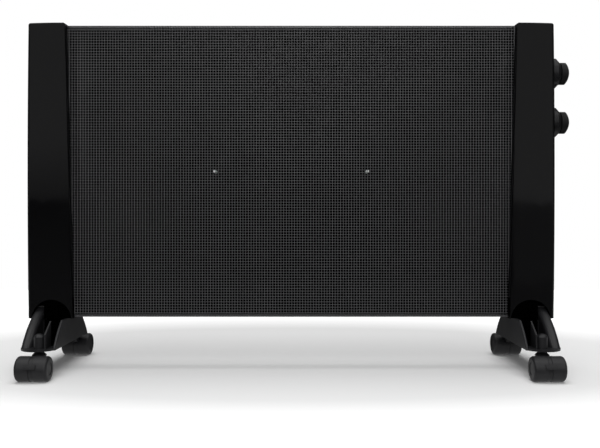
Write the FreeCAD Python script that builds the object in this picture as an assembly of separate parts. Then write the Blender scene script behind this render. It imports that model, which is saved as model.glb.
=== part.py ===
"""Mica panel heater on swivel castors, in millimetres.

+X is to the right (the control side), the front faces -Y, +Z is up and Z = 0 is the floor.
X = 0 and Y = 0 are the middle planes of the heater without its knobs.
"""

import FreeCAD
import Part
import math
import os

V = FreeCAD.Vector
X_AXIS, Y_AXIS, Z_AXIS = V(1, 0, 0), V(0, 1, 0), V(0, 0, 1)
ORIGIN = V(0, 0, 0)

# Clearances
fit_gap = 0.3            # between pieces that are put together by hand
seat_gap = 0.2           # between a collar or gland and the bowed wall that it sits on
running_gap = 0.05       # radial, round a turning shaft
swivel_gap = 0.5         # between the castor's neck and its socket
screw_gap = 0.2          # radial, round a screw

# Panel: grilles, end plates and rails
panel_bottom = 78.5
panel_height = 434.5
panel_depth = 45.0       # over the outer faces of both grilles
sheet = 0.8              # grille steel
grille_lap = 2.0         # how far a grille reaches past the end plate's inner face
bend_radius = 2.5        # outside, at the folded top and bottom
seam = 2.0               # between the folded edges of the two grilles
hole_side = 17.0         # perforation, coarser than the real sheet
hole_columns = 22
hole_rows = 13
hole_margin_x = 35.0     # from the sheet's edge to the perforated field
hole_margin_z = 10.0
plate = 1.2              # steel of end plates, rails and bracket
end_plate_flange = 12.0
end_plate_top_gap = 6.0  # below the folded top of the grilles
grille_screw_inset = 5.5  # from the end plate's inner face
grille_screw_count = 3
grille_screw_margin = 60.0
grille_screw_radius = 1.5
grille_screw_head = 3.0
grille_screw_head_height = 1.6
grille_screw_length = 4.0

# Heating boards
rail_depth = 14.0
rail_clear = 1.7         # between a rail and the folded edges of the grilles
mica = 1.0
foil = 0.3
board_gap = 1.0
board_slack = 0.5        # between a board's top and the rail above it
foil_margin = 12.0
foil_strip = 9.0
foil_pitch = 14.0
strip_width = 20.0
strip = 1.0
rivet_radius = 1.6
rivet_head = 2.8
rivet_head_height = 1.3
stud_radius = 2.3        # front end of a rivet, which keeps the grille off the boards
stud_chamfer = 0.3

# End caps
cap_drop = 1.5           # below the grilles
cap_rise = 2.5           # above the grilles
cap_wall = 2.2
cap_lap_top = 9.6        # inner edge, from the end plate; it leans outward to the top
cap_lap_bottom = 20.6
cap_proud = 8.5          # in front of the grille, at the inner edge
cap_corner_inset = 6.9   # from the furthest point out
cap_corner_drop = 4.0    # behind the front
cap_front_radius = 420.0
cap_side = 397.3         # furthest out, on Y = 0 at mid height; both ends of the heater follow it
cap_reach = 54.3         # from the end plate's inner face to the furthest point
cap_side_radius = 56.0
cap_barrel = 1.5         # how far the side draws in at top and bottom
cap_corner_radius = 6.0
cap_bevel = 1.8
cap_slope = 4.0          # half the width of the slope down to the grille at the top
cap_top_fillet = 1.8
notch_radius = 30.0
notch_drop = 2.0         # the notch's middle is this far below the cap
cap_boss_radius = 4.5
cap_boss_low = 83.0      # above the cap's bottom
cap_boss_high = 17.5     # below the cap's top
cap_boss_y = 10.0        # behind the heating boards
cap_screw_radius = 2.0
cap_screw_head = 3.8
cap_screw_head_height = 2.4
cap_screw_length = 14.0

# Feet
foot_offset = 12.0       # from the end plate to the middle of a foot and of its castors
foot_half_width = 22.5
foot_outer_extra = 5.5   # the outer wall stands further from the middle
foot_bottom = 39.0
foot_half_length = 82.0
foot_slope_inset = 22.0  # from the foot's end to a point that its sloping edge passes through
foot_slope_z = 65.0
foot_rise = 14.5         # above the bottom of the grilles
foot_top_half = 16.0
foot_wall = 4.0
foot_edge = 1.5          # rounding of the inner wall's edges
foot_outer_wall = 15.7
foot_outer_edge = 7.0
web = 3.0
web_y = 26.0             # outer face of the upright webs
web_top = 74.0
nose_reach = 13.0        # past the foot's end
nose_plate = 3.0
nose_corner = 1.0        # between the nose's corner and the outer wall's rounding
tongue_inset = 8.0       # from the foot's middle to the tongue's inner face
tongue_half = 20.0
post_radius = 7.75
post_height = 24.0
post_dome = 5.0
rib = 2.0
rib_offset = 10.0
rib_ahead = 7.0          # of the castor's swivel axis
rib_behind = 17.0
rib_rise_ahead = 23.0
rib_rise_behind = 39.0
foot_screw_spacing = 20.0
foot_screw_offset = 5.0  # from the foot's middle
foot_screw_radius = 2.5
foot_screw_head = 4.5
foot_screw_head_height = 3.5
foot_screw_reach = 5.0   # above the end plate's foot

# Castors
castor_inset = 2.0       # from the foot's end to the swivel axis
castor_trail = 22.5
wheel_radius = 17.5
wheel_width = 20.0
wheel_gap = 5.0          # between the two wheels
wheel_shoulder = 4.0     # rounding of the tread's outer end
wheel_lip = 0.4          # rounding of its inner end
wheel_rim = 2.0          # inside the shoulder
wheel_hub = 5.0
wheel_cup = 14.0         # depth of the hollow inside a wheel
wheel_dish = 0.8
wheel_dish_radius = 9.0
axle_radius = 2.5
axle_end = 3.0           # the axle stops this far inside the wheel's outer face
disc_side_gap = 0.25     # between the hood's disc and a wheel
disc_floor_gap = 0.5     # between the hood's disc and the floor
arm_gap = 0.6            # between the hood's arm and the treads
arm_half = 6.0
arm_front = -14.0
toe_gap = 0.6            # between the toe plate and the treads
toe_plate = 1.2
toe_half = 8.0
toe_start = 7.0          # degrees round the axle, from the front
toe_sweep = 22.0
neck_radius = 6.5
neck_bottom = 25.0
neck_floor = 2.0         # below the stem
flare_radius = 10.0
flare_bottom = 31.5
flare_rim = 1.5
flare_top = 36.5
stem_radius = 4.0
stem_top_gap = 1.0
stem_tip = 1.0

# Controls
thermostat_drop = 70.5   # below the cap's top
power_drop = 145.0
knob_radius = 16.5
knob_stand = 9.4         # from the cap's furthest point to the knob's back
knob_side = 8.0
knob_dome = 6.2
knob_mark_start = 5.0     # from the knob's axis
knob_mark_width = 1.8
knob_mark_depth = 0.8
collar_gap = 1.4
collar_base = 22.8
collar_tip = 16.8
collar_bore = 5.5
collar_spigot = 8.0
collar_spigot_depth = 4.0
spindle_radius = 3.0
spindle_into_knob = 10.0
spindle_into_body = 14.0
spindle_end_gap = 0.8
bracket_inset = 23.4     # from the cap's furthest point to the bracket's inner face
bracket_half = 16.0
bracket_margin = 22.0    # above and below the spindles
bracket_flange = 12.0
bush_radius = 4.5
bush_length = 9.0
switch_side = 28.0
switch_depth = 20.0
thermostat_radius = 13.0
thermostat_depth = 17.0

# Small electrical pieces
cutout_rise = 169.0      # above the feet
cutout_flange = 24.0
cutout_flange_width = 9.0
cutout_flange_sheet = 1.0
cutout_radius = 6.0
cutout_height = 7.0
tip_switch_rise = 15.0
tip_switch_size = (24.0, 20.0, 26.0)
terminal_rise = 107.0
terminal_size = (14.0, 18.0, 42.0)
terminal_ways = 4
terminal_hole = 2.0
gland_offset = 19.0      # from the end plate
gland_rise = 51.0        # above the cap's bottom
gland_bore = 3.75
gland_neck = 6.0
gland_flange = 8.5
gland_flange_height = 3.5
gland_inside = 5.0

# Worked out from the sizes above
panel_top = panel_bottom + panel_height
panel_front = panel_depth / 2
end_plate_x = cap_side - cap_reach
grille_edge = end_plate_x + grille_lap
lower_rail_z = panel_bottom + sheet + rail_clear
upper_rail_z = panel_top - sheet - rail_clear
cap_bottom = panel_bottom - cap_drop
cap_top = panel_top + cap_rise
cap_height = cap_top - cap_bottom
cap_inner_top = end_plate_x - cap_lap_top
cap_inner_bottom = end_plate_x - cap_lap_bottom
cap_front = panel_front + cap_proud
cap_corner_x = cap_side - cap_corner_inset
cap_corner_y = cap_front - cap_corner_drop
cap_mouth = panel_front + fit_gap
cap_boss_heights = (cap_bottom + cap_boss_low, cap_top - cap_boss_high)
notch_z = cap_bottom - notch_drop
plate_out = end_plate_x + plate
board_half = mica + foil / 2
rail_inside = board_half + fit_gap
board_bottom = lower_rail_z + plate
board_top = upper_rail_z - plate - board_slack
board_width = (2 * (end_plate_x - board_gap) - 2 * board_gap) / 3
joint_x = (board_width + board_gap) / 2
mid_z = panel_bottom + panel_height / 2
stud_end = panel_front - sheet - fit_gap
foot_x = end_plate_x + foot_offset
foot_top = panel_bottom + foot_rise
foot_screw_x = foot_x + foot_screw_offset
foot_slope_y = foot_half_length - foot_slope_inset
nose_y = foot_half_length + nose_reach
castor_y = foot_half_length - castor_inset
foot_in = foot_x - foot_half_width
foot_out = foot_x + foot_half_width + foot_outer_extra
foot_cut = cap_bottom - fit_gap
tongue_in = foot_x - tongue_inset
tongue_out = foot_out - foot_wall
post_top = foot_bottom + post_height
neck_top = foot_bottom - swivel_gap
stem_bottom = neck_bottom + neck_floor
wheel_inner_face = wheel_gap / 2
wheel_outer_face = wheel_inner_face + wheel_width
thermostat_z = cap_top - thermostat_drop
power_z = cap_top - power_drop
knob_back = cap_side + knob_stand
bracket_x = cap_side - bracket_inset
gland_x = end_plate_x + gland_offset
gland_z = cap_bottom + gland_rise
cutout_z = foot_top + cutout_rise
tip_switch_z = foot_top + tip_switch_rise
terminal_z = foot_top + terminal_rise
collar_face = knob_back - collar_gap
collar_shoulder = collar_face - (collar_base - collar_tip)


def box(x0, x1, y0, y1, z0, z1):
    """A block between two corners, given axis by axis."""
    return Part.makeBox(x1 - x0, y1 - y0, z1 - z0, V(x0, y0, z0))


def rod(radius, start, end):
    """A cylinder from one point to another."""
    axis = end - start
    return Part.makeCylinder(radius, axis.Length, start, axis)


def prism(points, way):
    """A polygon pushed along a vector."""
    return Part.Face(Part.makePolygon(points + points[:1])).extrude(way)


def turned(points, base, axis, degrees=360.0):
    """A polygon turned about an axis."""
    face = Part.Face(Part.makePolygon(points + points[:1]))
    return face.revolve(base, axis, degrees)


def solid(edges, way):
    """A closed run of edges pushed along a vector."""
    return Part.Face(Part.Wire(edges)).extrude(way)


def line(a, b):
    """A straight edge."""
    return Part.LineSegment(a, b).toShape()


def arc(a, b, c):
    """A round edge through three points."""
    return Part.Arc(a, b, c).toShape()


def dome_edge(base, out, up):
    """Round edge of a spherical dome, from its rim at base + out to its crown at base + up."""
    radius = (out.Length ** 2 + up.Length ** 2) / (2 * up.Length)
    half_angle = math.asin(out.Length / radius) / 2
    upward, outward = V(up).normalize(), V(out).normalize()
    centre = base + up - upward * radius
    middle = centre + upward * radius * math.cos(half_angle) + outward * radius * math.sin(half_angle)
    return arc(base + out, middle, base + up)


def mirrored(shape):
    """The same piece on the other side of X = 0."""
    return shape.mirror(ORIGIN, X_AXIS)


def one(shape):
    """A fused shape with its seams cleaned away, as one solid."""
    return shape.removeSplitter().Solids[0]


def circle_through(a, b, radius):
    """Centre of the circle through two points of a plan, on the right of the way from a to b."""
    middle = (a + b) * 0.5
    half = b - a
    height = math.sqrt(radius ** 2 - (half.Length / 2) ** 2)
    side = V(half.y, -half.x, 0).normalize()
    return middle - side * height


def fillet_centre(centre_a, radius_a, centre_b, radius_b, inner):
    """Centre of a rounding that lies inside two circles, on their meeting with the larger x."""
    ra, rb = radius_a - inner, radius_b - inner
    way = centre_b - centre_a
    along = (ra ** 2 - rb ** 2 + way.Length ** 2) / (2 * way.Length)
    off = math.sqrt(ra ** 2 - along ** 2)
    unit = V(way).normalize()
    foot = centre_a + unit * along
    side = V(-unit.y, unit.x, 0) * off
    return max((foot + side, foot - side), key=lambda p: p.x)


def cap_section(z, inset):
    """Closed plan outline of the right end cap at one height, drawn in by inset."""
    share = (z - cap_bottom) / cap_height
    inner = cap_inner_bottom + (cap_inner_top - cap_inner_bottom) * share
    side = cap_side - cap_barrel * (2 * share - 1) ** 2
    bevel_rise = cap_front - cap_mouth
    start = V(inner + cap_bevel, -cap_front, 0)
    corner = V(cap_corner_x, -cap_corner_y, 0)
    front_centre = circle_through(start, corner, cap_front_radius)
    side_centre = V(side - cap_side_radius, 0, 0)
    front_radius = cap_front_radius - inset
    side_radius = cap_side_radius - inset
    corner_radius = cap_corner_radius - inset
    round_centre = fillet_centre(
        front_centre, cap_front_radius, side_centre, cap_side_radius, cap_corner_radius
    )

    def on_front(x):
        drop = math.sqrt(front_radius ** 2 - (x - front_centre.x) ** 2)
        return V(x, front_centre.y - drop, 0)

    slide = inset * math.hypot(cap_bevel, bevel_rise) / bevel_rise
    mouth = V(inner + slide, -cap_mouth, 0)
    rise = (bevel_rise - inset) / bevel_rise
    bend = on_front(inner + slide + cap_bevel * rise)
    front_way = V(round_centre - front_centre).normalize()
    side_way = V(round_centre - side_centre).normalize()
    front_end = round_centre + front_way * corner_radius
    side_end = round_centre + side_way * corner_radius
    round_way = V(front_way + side_way).normalize()
    round_mid = round_centre + round_way * corner_radius
    front_mid = on_front((bend.x + front_end.x) / 2)
    lower = [mouth, bend, front_mid, front_end, round_mid, side_end]
    p = [V(q.x, q.y, z) for q in lower]
    m = [V(q.x, -q.y, z) for q in lower]
    tip = V(side_centre.x + side_radius, 0, z)
    edges = [
        line(p[0], p[1]),
        arc(p[1], p[2], p[3]),
        arc(p[3], p[4], p[5]),
        arc(p[5], tip, m[5]),
        arc(m[5], m[4], m[3]),
        arc(m[3], m[2], m[1]),
        line(m[1], m[0]),
        line(m[0], p[0]),
    ]
    return Part.Wire(edges)


def cap_body(bottom, top, inset):
    """The end cap as a full body between two heights, drawn in by inset."""
    heights = (bottom, (bottom + top) / 2, top)
    return Part.makeLoft([cap_section(z, inset) for z in heights], True, False)


def notch_cup(side):
    """Round wall and back of the recess in one face of the right cap, with a way through for the foot."""
    def along(radius, depth):
        start, end = V(foot_x, side * depth, notch_z), V(foot_x, side * 2 * cap_front, notch_z)
        return rod(radius, start, end)

    cup = along(notch_radius + cap_wall, cap_mouth).cut(along(notch_radius, cap_mouth + cap_wall))
    reach = 2 * notch_radius
    wall_in = foot_out - foot_outer_wall - fit_gap
    way = box(wall_in, wall_in + reach, -2 * cap_front, 2 * cap_front, notch_z - reach, notch_z + reach)
    return cup.cut(way.common(along(notch_radius, 0)))


def cap_shell():
    """Right end cap before the holes for the controls."""
    body = cap_body(cap_bottom, cap_top, 0.0)
    rim = []
    for edge in body.Edges:
        box_of = edge.BoundBox
        flat = box_of.ZMin > cap_top - fit_gap
        if flat and box_of.XMax > cap_inner_top + 2 * cap_bevel:
            rim.append(edge)
    body = body.makeFillet(cap_top_fillet, rim)
    hollow = cap_body(cap_bottom + cap_wall, cap_top - cap_wall, cap_wall)
    mouth = box(
        cap_inner_bottom - cap_bevel, cap_inner_top + 3 * cap_bevel, -cap_mouth, cap_mouth,
        cap_bottom + cap_wall / 2, cap_top - cap_wall,
    )
    shell = body.cut(hollow).cut(mouth)
    slope = prism(
        [
            V(cap_inner_top - cap_slope, -cap_front, cap_top - 2 * cap_wall),
            V(cap_inner_top + cap_slope, -cap_front, cap_top),
            V(cap_inner_top + cap_slope, -cap_front, cap_top + cap_slope),
            V(cap_inner_top - cap_slope, -cap_front, cap_top + cap_slope),
        ],
        V(0, 2 * cap_front, 0),
    )
    reach = 2 * cap_front
    notch = rod(notch_radius, V(foot_x, -reach, notch_z), V(foot_x, reach, notch_z))
    shell = shell.cut(slope).cut(notch)
    for side in (-1, 1):
        shell = shell.fuse(notch_cup(side).common(body))
    inside = cap_body(cap_bottom, cap_top, cap_wall / 2)
    y = cap_boss_y
    pilot_end = end_plate_x + cap_screw_length + screw_gap
    for z in cap_boss_heights:
        boss = rod(cap_boss_radius, V(plate_out, y, z), V(cap_side, y, z)).common(inside)
        pilot = rod(cap_screw_radius + screw_gap, V(plate_out, y, z), V(pilot_end, y, z))
        shell = shell.fuse(boss).cut(pilot)
    return shell


def right_cap():
    """Right end cap, with the holes for the collars and the cord gland."""
    shell = cap_shell()
    for z in (thermostat_z, power_z):
        hole = rod(collar_spigot + seat_gap, V(bracket_x + plate, 0, z), V(cap_side + cap_wall, 0, z))
        shell = shell.cut(hole)
    hole = rod(gland_neck + seat_gap, V(gland_x, 0, gland_z), V(gland_x, 2 * cap_front, gland_z))
    return one(shell.cut(hole))


def grille():
    """Front grille: a perforated sheet with its top and bottom folded back."""
    reach = panel_front - seam / 2
    outer = box(-grille_edge, grille_edge, -panel_front, -panel_front + reach, panel_bottom, panel_top)
    front_edges = []
    for edge in outer.Edges:
        b = edge.BoundBox
        if b.YMax < -panel_front + sheet / 2 and b.XLength > grille_edge:
            front_edges.append(edge)
    outer = outer.makeFillet(bend_radius, front_edges)
    inner = box(
        -grille_edge, grille_edge, -panel_front + sheet, -panel_front + reach + sheet,
        panel_bottom + sheet, panel_top - sheet,
    )
    inner_edges = []
    for edge in inner.Edges:
        b = edge.BoundBox
        if b.YMax < -panel_front + 1.5 * sheet and b.XLength > grille_edge:
            inner_edges.append(edge)
    pan = outer.cut(inner.makeFillet(bend_radius - sheet, inner_edges))
    step_x = 2 * (grille_edge - hole_margin_x) / hole_columns
    step_z = (panel_height - 2 * hole_margin_z) / hole_rows
    holes = []
    for column in range(hole_columns):
        x = -grille_edge + hole_margin_x + (column + 0.5) * step_x
        for row in range(hole_rows):
            z = panel_bottom + hole_margin_z + (row + 0.5) * step_z
            holes.append(box(
                x - hole_side / 2, x + hole_side / 2, -panel_front - sheet, -panel_front + 2 * sheet,
                z - hole_side / 2, z + hole_side / 2,
            ))
    y0, y1 = -panel_front - sheet, -panel_front + 2 * sheet
    for x, z in grille_screw_places():
        holes.append(rod(grille_screw_radius + screw_gap, V(x, y0, z), V(x, y1, z)))
    return one(pan.cut(Part.Compound(holes)))


def grille_screw_places():
    """(x, z) of the screws along both edges of a grille."""
    x = end_plate_x - grille_screw_inset
    span = panel_height - 2 * grille_screw_margin
    heights = [
        panel_bottom + grille_screw_margin + span * i / (grille_screw_count - 1)
        for i in range(grille_screw_count)
    ]
    return [(side * x, z) for side in (-1, 1) for z in heights]


def grille_screws():
    """Pan screws that hold both grilles to the end plates."""
    screws = []
    for x, z in grille_screw_places():
        for side in (-1, 1):
            face = side * panel_front
            head = rod(grille_screw_head, V(x, face, z), V(x, face + side * grille_screw_head_height, z))
            shank = rod(grille_screw_radius, V(x, face, z), V(x, face - side * grille_screw_length, z))
            screws.append(one(head.fuse(shank)))
    return Part.Compound(screws)


def end_plate():
    """Right end plate: a web with side flanges behind the grilles and a foot below."""
    half = panel_front - sheet
    top = panel_top - sheet - end_plate_top_gap
    bottom = panel_bottom + bend_radius + sheet
    body = box(end_plate_x, plate_out, -half, half, bottom, top)
    for side in (-1, 1):
        y0, y1 = sorted((side * half, side * (half - plate)))
        body = body.fuse(box(plate_out - end_plate_flange, plate_out, y0, y1, bottom, top))
    body = body.fuse(box(end_plate_x, tongue_out, -tongue_half, tongue_half, foot_top, foot_top + plate))
    y = cap_boss_y
    for z in cap_boss_heights:
        hole = rod(cap_screw_radius + screw_gap, V(end_plate_x - plate, y, z), V(plate_out + plate, y, z))
        body = body.cut(hole)
    x = foot_screw_x
    for y in foot_screw_ys():
        hole = rod(foot_screw_radius + screw_gap, V(x, y, foot_cut), V(x, y, foot_top + 2 * plate))
        body = body.cut(hole)
    reach = 2 * panel_front
    for x, z in grille_screw_places():
        if x > 0:
            body = body.cut(rod(grille_screw_radius + screw_gap, V(x, -reach, z), V(x, reach, z)))
    return one(body)


def cap_screws():
    """Screws from inside the end plates into the bosses of the caps."""
    y = cap_boss_y
    screws = []
    for z in cap_boss_heights:
        head = rod(cap_screw_head, V(end_plate_x - cap_screw_head_height, y, z), V(end_plate_x, y, z))
        shank = rod(cap_screw_radius, V(end_plate_x, y, z), V(end_plate_x + cap_screw_length, y, z))
        screw = one(head.fuse(shank))
        screws += [screw, mirrored(screw)]
    return Part.Compound(screws)


def rail(floor_z, way):
    """Channel between the end plates; way is 1 where it opens upward and -1 downward."""
    half = rail_inside + plate
    points = [
        V(-end_plate_x, -half, floor_z),
        V(-end_plate_x, half, floor_z),
        V(-end_plate_x, half, floor_z + way * rail_depth),
        V(-end_plate_x, rail_inside, floor_z + way * rail_depth),
        V(-end_plate_x, rail_inside, floor_z + way * plate),
        V(-end_plate_x, -rail_inside, floor_z + way * plate),
        V(-end_plate_x, -rail_inside, floor_z + way * rail_depth),
        V(-end_plate_x, -half, floor_z + way * rail_depth),
    ]
    return prism(points, V(2 * end_plate_x, 0, 0))


def board_left(index):
    """X of the left edge of one of the three heating boards."""
    return -end_plate_x + board_gap + index * (board_width + board_gap)


def mica_sheet(index, side):
    """One cover sheet of a heating board; side is -1 in front of the foil and 1 behind it."""
    x0 = board_left(index)
    y0, y1 = sorted((side * foil / 2, side * board_half))
    sheet_body = box(x0, x0 + board_width, y0, y1, board_bottom, board_top)
    for x in (-joint_x, joint_x):
        hole = rod(rivet_radius + screw_gap, V(x, -board_half, mid_z), V(x, board_half, mid_z))
        sheet_body = sheet_body.cut(hole)
    return one(sheet_body)


def resistance_foil(index):
    """Resistance foil of a heating board, folded to and fro in upright runs."""
    x0 = board_left(index) + foil_margin
    z0, z1 = board_bottom + rail_depth, board_top - rail_depth
    runs = int((board_width - 2 * foil_margin - foil_strip) / foil_pitch) + 1
    pieces = []
    for run in range(runs):
        x = x0 + run * foil_pitch
        pieces.append(box(x, x + foil_strip, -foil / 2, foil / 2, z0, z1))
        if run + 1 < runs:
            z = z1 - foil_strip if run % 2 == 0 else z0
            pieces.append(box(x, x + foil_pitch, -foil / 2, foil / 2, z, z + foil_strip))
    return one(pieces[0].multiFuse(pieces[1:]))


def clamp_strips(x):
    """The two upright strips that clamp the boards' edges at one joint."""
    z0, z1 = lower_rail_z + rail_depth, upper_rail_z - rail_depth
    strips = []
    for side in (-1, 1):
        y0, y1 = sorted((side * board_half, side * (board_half + strip)))
        piece = box(x - strip_width / 2, x + strip_width / 2, y0, y1, z0, z1)
        reach = 2 * (board_half + strip)
        hole = rod(rivet_radius + screw_gap, V(x, -reach, mid_z), V(x, reach, mid_z))
        strips.append(one(piece.cut(hole)))
    return Part.Compound(strips)


def board_rivets():
    """Rivets through the clamp strips at mid height, with a stud in front and a domed head behind."""
    face = board_half + strip
    rivets = []
    for x in (-joint_x, joint_x):
        def at(r, y):
            return V(x + r, y, mid_z)

        corners = [
            at(0, -stud_end),
            at(stud_radius - stud_chamfer, -stud_end),
            at(stud_radius, -stud_end + stud_chamfer),
            at(stud_radius, -face),
            at(rivet_radius, -face),
            at(rivet_radius, face),
            at(rivet_head, face),
        ]
        edges = [line(a, b) for a, b in zip(corners, corners[1:])]
        edges.append(dome_edge(at(0, face), V(rivet_head, 0, 0), V(0, rivet_head_height, 0)))
        edges.append(line(at(0, face + rivet_head_height), corners[0]))
        rivets.append(Part.Face(Part.Wire(edges)).revolve(at(0, 0), Y_AXIS, 360))
    return Part.Compound(rivets)


def slope_edges(x):
    """Closed side outline of a foot: flat below and above, bowed at both ends."""
    low_front, high_front = V(x, -foot_half_length, foot_bottom), V(x, -foot_top_half, foot_top)
    way = high_front - low_front
    aim = V(0, foot_half_length - foot_slope_y, foot_slope_z - foot_bottom)
    bulge = aim.cross(way).Length / way.Length
    mid_front = low_front + way * 0.5 + V(0, -way.z, way.y).normalize() * bulge

    def rear(p):
        return V(p.x, -p.y, p.z)

    return [
        line(rear(low_front), low_front),
        arc(low_front, mid_front, high_front),
        line(high_front, rear(high_front)),
        arc(rear(high_front), rear(mid_front), rear(low_front)),
    ]


def foot_side(x, thick, rounding, top_cut):
    """One side wall of a foot, rounded along its ends and top, cut off level above."""
    wall = solid(slope_edges(x), V(thick, 0, 0))
    rim = [e for e in wall.Edges if e.BoundBox.XLength < fit_gap and e.BoundBox.ZMax > foot_bottom + fit_gap]
    wall = wall.makeFillet(min(rounding, 0.48 * thick), rim)
    reach = 2 * foot_half_length
    return wall.cut(box(x - reach, x + reach, -reach, reach, top_cut, top_cut + reach))


def foot_nose(side):
    """Rounded floor of a foot round one castor socket."""
    y_in, y_out = web_y - web, nose_y
    y_mid = foot_half_length - foot_outer_edge - nose_corner
    a, b = V(foot_in, side * y_in, foot_bottom), V(foot_out, side * y_in, foot_bottom)
    c, d = V(foot_out, side * y_mid, foot_bottom), V(foot_in, side * y_mid, foot_bottom)
    tip = V(foot_x, side * y_out, foot_bottom)
    return solid([line(a, b), line(b, c), arc(c, tip, d), line(d, a)], V(0, 0, nose_plate))


def foot_post(side):
    """Castor socket post with a domed top."""
    base = V(foot_x, side * castor_y, foot_bottom)
    out, shoulder = V(post_radius, 0, 0), V(0, 0, post_height - post_dome)
    edges = [
        line(base, base + out),
        line(base + out, base + out + shoulder),
        dome_edge(base + shoulder, out, V(0, 0, post_dome)),
        line(base + V(0, 0, post_height), base),
    ]
    return Part.Face(Part.Wire(edges)).revolve(base, Z_AXIS, 360)


def foot_rib(side):
    """Upright rib on the floor beside a socket post, lower towards the foot's end."""
    x, low = foot_x - rib_offset - rib / 2, foot_bottom + nose_plate / 2
    behind, ahead = side * (castor_y - rib_behind), side * (castor_y + rib_ahead)
    points = [
        V(x, behind, low),
        V(x, ahead, low),
        V(x, ahead, foot_bottom + rib_rise_ahead),
        V(x, behind, foot_bottom + rib_rise_behind),
    ]
    return prism(points, V(rib, 0, 0))


def foot():
    """Right foot: side walls, saddle of upright webs, floors, socket posts, ribs and a tongue."""
    body = foot_side(foot_in, foot_wall, foot_edge, foot_cut)
    body = body.fuse(foot_side(foot_out - foot_outer_wall, foot_outer_wall, foot_outer_edge, foot_top))
    x0, x1 = foot_in + foot_wall / 2, foot_out - foot_wall / 2
    saddle = box(x0, x1, -web_y, web_y, foot_bottom, web_top)
    saddle = saddle.cut(box(x0, x1, web - web_y, web_y - web, foot_bottom, web_top - web))
    body = body.fuse(saddle)
    tongue = box(
        tongue_in, tongue_out + foot_wall / 2, -foot_top_half, foot_top_half, web_top - web, foot_top
    )
    body = body.fuse(tongue)
    for side in (-1, 1):
        body = body.fuse(foot_nose(side)).fuse(foot_post(side)).fuse(foot_rib(side))
    for side in (-1, 1):
        y = side * castor_y
        bore = rod(stem_radius + running_gap, V(foot_x, y, 0), V(foot_x, y, post_top - post_dome))
        body = body.cut(bore)
    x = foot_screw_x
    for y in foot_screw_ys():
        body = body.cut(rod(foot_screw_radius + screw_gap, V(x, y, foot_bottom), V(x, y, foot_top + plate)))
    return one(body)


def foot_screw_ys():
    """Y of the two screws of a foot."""
    return (-foot_screw_spacing / 2, foot_screw_spacing / 2)


def foot_screws():
    """Screws from under each foot into the foot of the end plate."""
    x, seat = foot_screw_x, web_top - web
    top = foot_top + plate + foot_screw_reach
    screws = []
    for y in foot_screw_ys():
        head = rod(foot_screw_head, V(x, y, seat - foot_screw_head_height), V(x, y, seat))
        shank = rod(foot_screw_radius, V(x, y, seat), V(x, y, top))
        screw = one(head.fuse(shank))
        screws += [screw, mirrored(screw)]
    return Part.Compound(screws)


def axle_point(x=0.0):
    """A point of the wheel axis, in a castor whose swivel axis is Z and whose wheels are in front."""
    return V(x, -castor_trail, wheel_radius)


def round_axle(x, radius):
    """A point at some distance from the wheel axis, for outlines that turn about it."""
    return axle_point(x) + V(0, 0, radius)


def castor_hood():
    """Hood: a disc between the wheels with a toe plate in front, an arm and a neck round the stem."""
    half = wheel_gap / 2 - disc_side_gap
    toe_inner = wheel_radius + toe_gap
    toe_outer = toe_inner + toe_plate

    def toe_piece(reach, inner):
        section = [
            round_axle(-reach, inner), round_axle(reach, inner),
            round_axle(reach, toe_outer), round_axle(-reach, toe_outer),
        ]
        piece = turned(section, axle_point(), X_AXIS, toe_sweep)
        piece.rotate(axle_point(), X_AXIS, 90 - toe_start - toe_sweep)
        return piece

    disc = rod(wheel_radius - disc_floor_gap, axle_point(-half), axle_point(half))
    treads = rod(wheel_radius + arm_gap, axle_point(-wheel_outer_face), axle_point(wheel_outer_face))
    arm = box(-arm_half, arm_half, arm_front, 0, neck_bottom, flare_bottom).cut(treads)
    spine = box(-half, half, -castor_trail, 0, neck_bottom, flare_bottom)
    neck = rod(neck_radius, V(0, 0, neck_bottom), V(0, 0, neck_top)).cut(treads)
    flare = turned(
        [
            V(0, 0, flare_bottom),
            V(flare_radius, 0, flare_bottom),
            V(flare_radius, 0, flare_bottom + flare_rim),
            V(neck_radius, 0, flare_top),
            V(0, 0, flare_top),
        ],
        ORIGIN, Z_AXIS,
    )
    toe = toe_piece(toe_half, toe_inner).fuse(toe_piece(half, wheel_hub))
    body = disc.multiFuse([toe, arm, spine, neck, flare])
    body = body.cut(rod(axle_radius + running_gap, axle_point(-wheel_gap), axle_point(wheel_gap)))
    socket = rod(stem_radius + running_gap, V(0, 0, stem_bottom), V(0, 0, neck_top + swivel_gap))
    return one(body.cut(socket))


def castor_stem():
    """Steel stem, seated in the hood's neck, that turns in the foot's socket."""
    top = post_top - post_dome - stem_top_gap
    stem = rod(stem_radius, V(0, 0, stem_bottom), V(0, 0, top))
    rim = [e for e in stem.Edges if e.BoundBox.ZMin > top - stem_tip]
    return stem.makeChamfer(stem_tip, rim)


def castor_axle():
    """Steel axle through the hood into both wheels."""
    end = wheel_outer_face - axle_end
    return rod(axle_radius, axle_point(-end), axle_point(end))


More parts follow.
